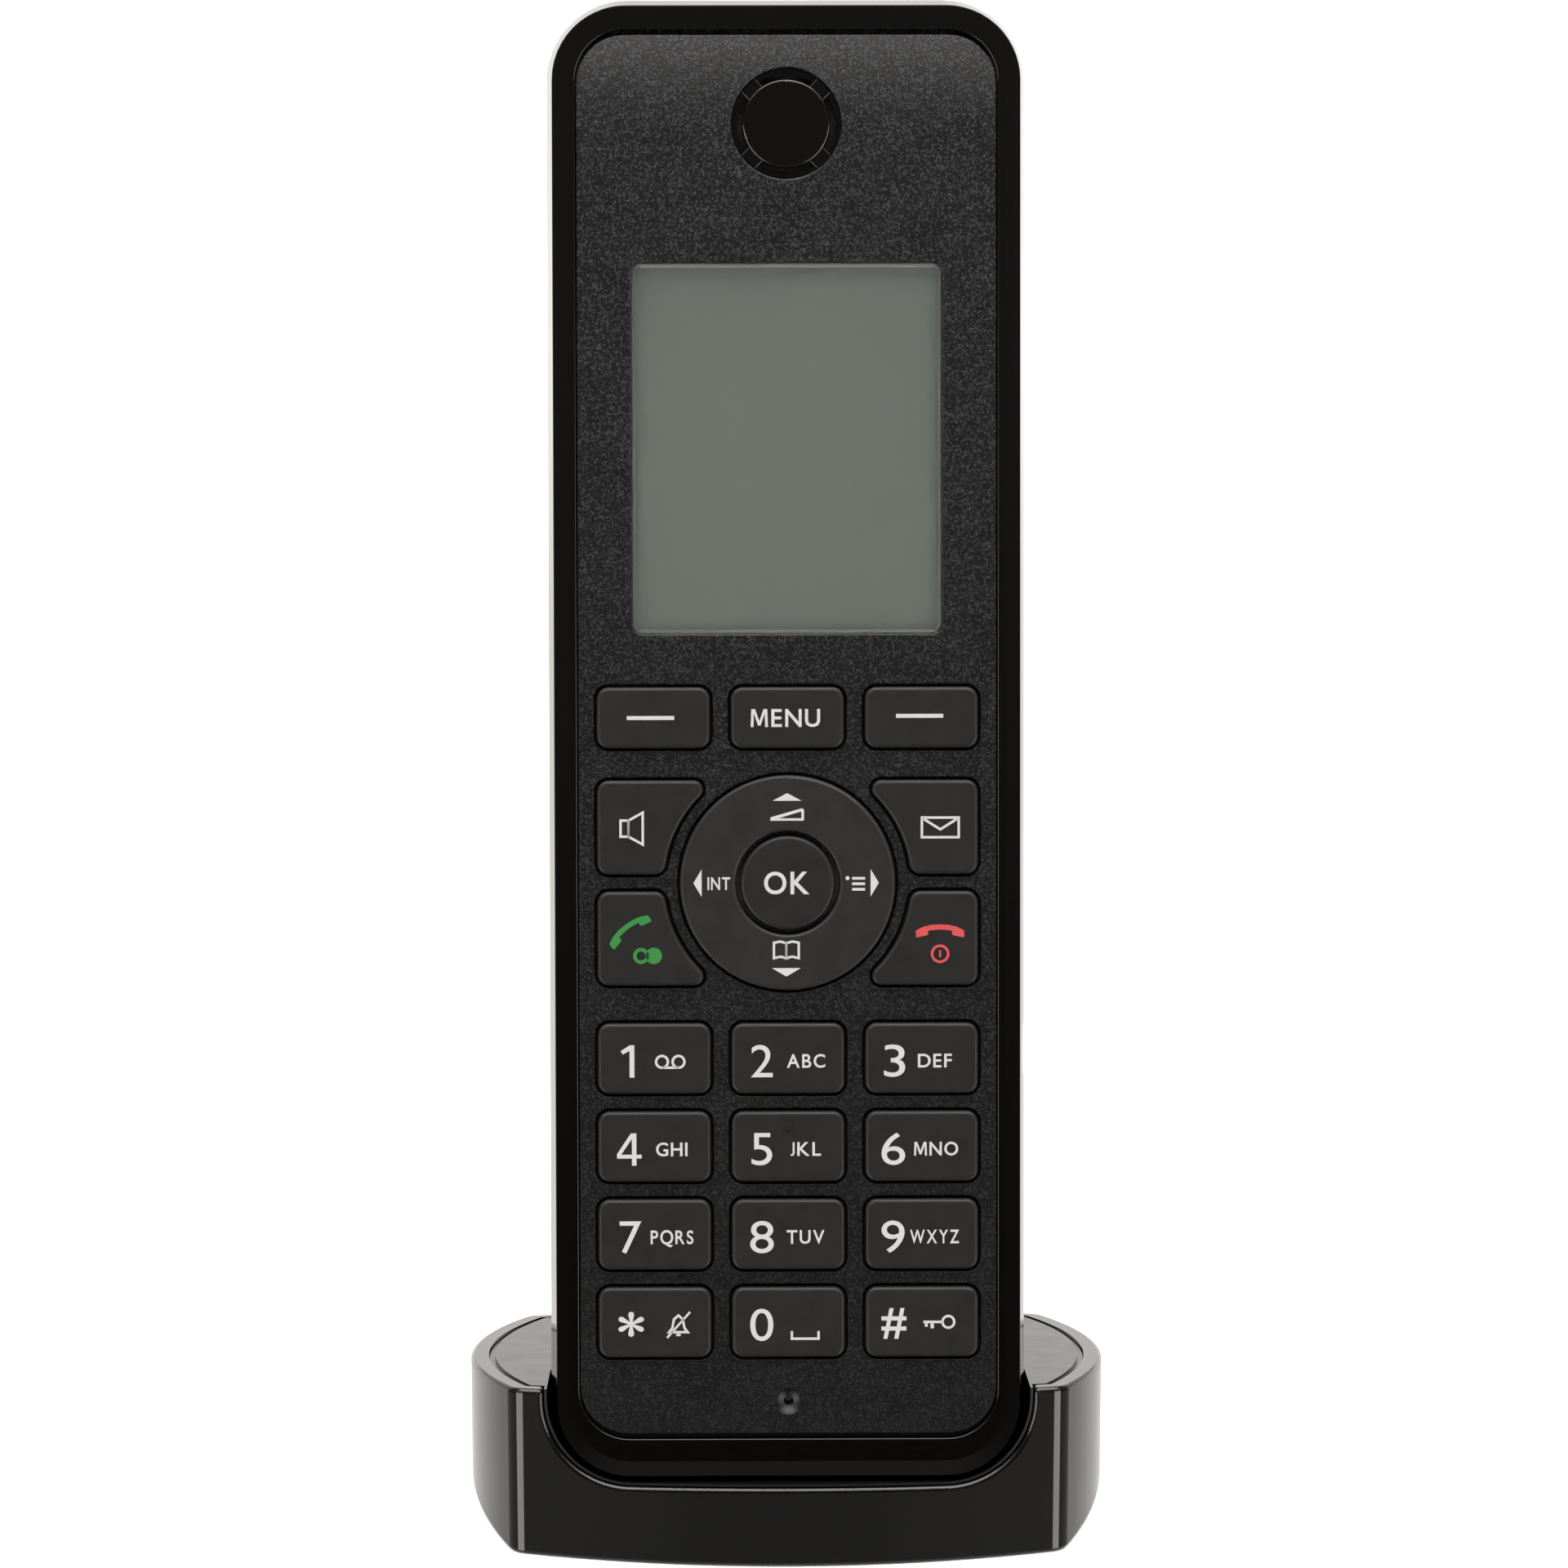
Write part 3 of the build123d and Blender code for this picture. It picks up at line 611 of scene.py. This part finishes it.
def upper_legends(ink):
    legend("soft_left", ink, [bar(-0.28, 0, 4.8, 0.4)])
    legend("soft_right", ink, [bar(-0.18, 0.16, 4.8, 0.4)])
    legend("menu", ink, lettering("MENU", 1.82, -0.2, -0.03, 7.05))


def side_place(node, inward):
    """Place on a side key, `inward` millimetres from its outer edge."""
    low, high = reach(node, ACROSS)
    inward = inward * MM + KEY_FLANGE
    across = low + inward if low < 0 else high - inward
    return across, middle(node, UP), CAP_TOP


def side_legends(ink, green, red):
    place = side_place("key_speaker", 3.55)
    print_on("legend_speaker", "key_speaker", ink, place, loudspeaker_sign(0, -0.08))
    place = side_place("key_message", 3.84)
    print_on("legend_message", "key_message", ink, place, envelope_sign(0, -0.03))
    call = [handset_sign(-0.2, 0.9, 37), band(1.04, -1.74, 0.64, 0.36)]
    call += [[circle(2.34, -1.74, 0.84)]]
    print_on("legend_call", "key_call", green, side_place("key_call", 3.4), call)
    end = [handset_sign(0, 0.75, 0)] + power_sign(0, -1.6)
    print_on("legend_end", "key_end", red, side_place("key_end", 3.87), end)


def ring_legends(ink):
    centre = middle("nav_ring", ACROSS), middle("nav_ring", UP), CAP_TOP
    artwork = [triangle(-0.05, 8.75, 2.95, 0.78), triangle(-0.15, -9.1, 2.95, -0.86)]
    artwork += [volume_sign(-0.05, 6.96), arrow(-9.16, 0, -0.84, 2.8), arrow(8.84, 0, 0.84, 2.8)]
    artwork += lettering("INT", 1.3, -7.0, -0.05, 2.3)
    artwork += list_sign(7.2, -0.1) + book_sign(-0.15, -6.8)
    print_on("legend_ring", "nav_ring", ink, centre, artwork)
    print_on("legend_ok", "key_ok", ink, centre, lettering("OK", 2.3, -0.1, 0, 4.6))


def painted_window_glints(ink):
    """Painted highlights: pale lines above and below the display's picture, seen through the
    window, standing in for the light that the window's upper and lower bevels catch.
    """
    low, high = reach("display_window", UP)
    hidden_rim, inset = 1.05, 0.32
    length, width = 29.8, 0.17
    place = 0, (low + high) / 2, reach("lcd_panel", OUT)[1]
    edge = (high - low) / 2 / MM - hidden_rim - inset
    # painted highlights where the window's bevels catch light, drawn as pale bars on the display
    lines = [bar(0, edge, length, width), bar(0, -edge, length, width)]
    print_on("painted_window_glints", "handset", ink, place, lines)


# ------------------------------------------------------------------ studio


def camera():
    """Long lens, 15 degrees above the level, aimed at the middle of the handset's face."""
    depression = math.radians(15)
    distance = 0.6
    aim_height, aim_left, stands_left = 0.0712, 0.00035, 0.0055
    foot = on_handset(0, reach("bezel_frame", UP)[0], reach("bezel_frame", OUT)[1])
    target = foot + UP * aim_height - ACROSS * aim_left
    place = target + distance * Vector((0, -math.cos(depression), math.sin(depression)))
    place -= ACROSS * stands_left
    data = bpy.data.cameras.new("camera")
    data.lens = 135.675
    data.sensor_width = 36
    data.clip_start = 0.01
    made = bpy.data.objects.new("camera", data)
    made.location = place
    made.rotation_euler = (target - place).to_track_quat("-Z", "Y").to_euler()
    bpy.context.scene.collection.objects.link(made)
    bpy.context.scene.camera = made


def floor():
    """Pale paper that the base stands on, unseen in the object's own reflections."""
    half = 6.0
    mesh = bpy.data.meshes.new("floor")
    corners = [(-half, -half, 0), (half, -half, 0), (half, half, 0), (-half, half, 0)]
    mesh.from_pydata(corners, [], [(0, 1, 2, 3)])
    surface = Surface("floor_paper", (0.9, 0.9, 0.9), 0.9)
    surface.vary_color(surface.noise(0.4, 2.0), (0.89, 0.89, 0.89), (0.91, 0.91, 0.91))
    mesh.materials.append(surface.material)
    made = bpy.data.objects.new("floor", mesh)
    made.visible_glossy = False
    bpy.context.scene.collection.objects.link(made)


class Tent:
    """World shader that adds up lights, each shaped by smooth steps over direction."""

    def __init__(self):
        self.world = bpy.data.worlds.new("tent")
        self.world.use_nodes = True
        self.tree = self.world.node_tree
        self.direction = self.tree.nodes.new("ShaderNodeSeparateXYZ")
        place = self.tree.nodes.new("ShaderNodeTexCoord")
        self.tree.links.new(place.outputs["Generated"], self.direction.inputs["Vector"])
        self.glow = None

    def math(self, operation, first, second=None):
        """Result of a sum on numbers or on other nodes' outputs."""
        made = self.tree.nodes.new("ShaderNodeMath")
        made.operation = operation
        for socket, value in zip(made.inputs, (first, second)):
            if isinstance(value, (int, float)):
                socket.default_value = value
            elif value is not None:
                self.tree.links.new(value, socket)
        return made.outputs["Value"]

    def step(self, value, low, high, below, above):
        """Smooth change from `below` to `above` as a value runs from `low` to `high`."""
        made = self.tree.nodes.new("ShaderNodeMapRange")
        made.interpolation_type = "SMOOTHSTEP"
        for name, number in zip(RANGE_SOCKETS, (low, high, below, above)):
            made.inputs[name].default_value = number
        self.tree.links.new(value, made.inputs["Value"])
        return made.outputs["Result"]

    def window(self, value, low, high, soft):
        """1 between two values and 0 beyond them."""
        opening = self.step(value, low, low + soft, 0, 1)
        closing = self.step(value, high - soft, high, 1, 0)
        return self.math("MULTIPLY", opening, closing)

    def add(self, light):
        self.glow = self.math("ADD", self.glow, light) if self.glow else light

    def finish(self):
        background = self.tree.nodes["Background"]
        background.inputs["Color"].default_value = (1, 0.965, 0.94, 1)
        self.tree.links.new(self.glow, background.inputs["Strength"])
        bpy.context.scene.world = self.world


TABLE_GLOW = 0.67
HIGH_FRONT = 2.2
OVERHEAD_LAMP = 4.5
SOFT_BOX = 4.7


def surroundings():
    """Dark room: pale wall behind, glow high in front, lamp overhead, soft box on each side."""
    tent = Tent()
    x, y, z = (tent.direction.outputs[axis] for axis in "XYZ")
    # 0 straight in front of the object, more to either side, in radians
    sideways = tent.math("ABSOLUTE", tent.math("ARCTAN2", x, tent.math("MULTIPLY", y, -1)))

    def both(first, second):
        return tent.math("MULTIPLY", first, second)

    wall = tent.step(y, 0.4, 1.0, 0.04, 0.54)
    table_edge = both(tent.window(z, -0.24, 0.02, 0.06), TABLE_GLOW)
    below_front = tent.step(z, -0.2, -0.05, 0.26, 0)
    above_level = tent.step(z, 0.05, 0.25, 0, 0.1)
    off_centre = tent.step(sideways, 0.1, 0.5, 0, 0.1)
    front_half = tent.step(y, -0.3, 0.2, 1, 0)
    high_front = both(tent.step(z, 0.45, 0.75, 0, HIGH_FRONT), front_half)
    overhead = tent.step(z, 0.78, 0.84, 0, OVERHEAD_LAMP)
    soft_box = both(tent.window(sideways, 0.6, 1.2, 0.06), tent.window(z, -0.8, 0.16, 0.06))
    for light in (wall, both(wall, table_edge), below_front, above_level, off_centre,
                  high_front, overhead, both(soft_box, SOFT_BOX)):
        tent.add(light)
    tent.finish()
    bpy.context.scene.view_settings.view_transform = "Standard"


camera()
surroundings()
floor()
paint_nodes()
white_ink = printed_ink("legend_white", (0.4, 0.4, 0.4))
green_ink = printed_ink("legend_green", (0.012, 0.16, 0.022))
red_ink = printed_ink("legend_red", (0.42, 0.04, 0.04))
digit_legends(white_ink)
upper_legends(white_ink)
side_legends(white_ink, green_ink, red_ink)
ring_legends(white_ink)
# painted highlights: pale lines on the display where the window's bevels catch light
painted_window_glints(printed_ink("painted_glint_white", (0.36, 0.37, 0.36)))
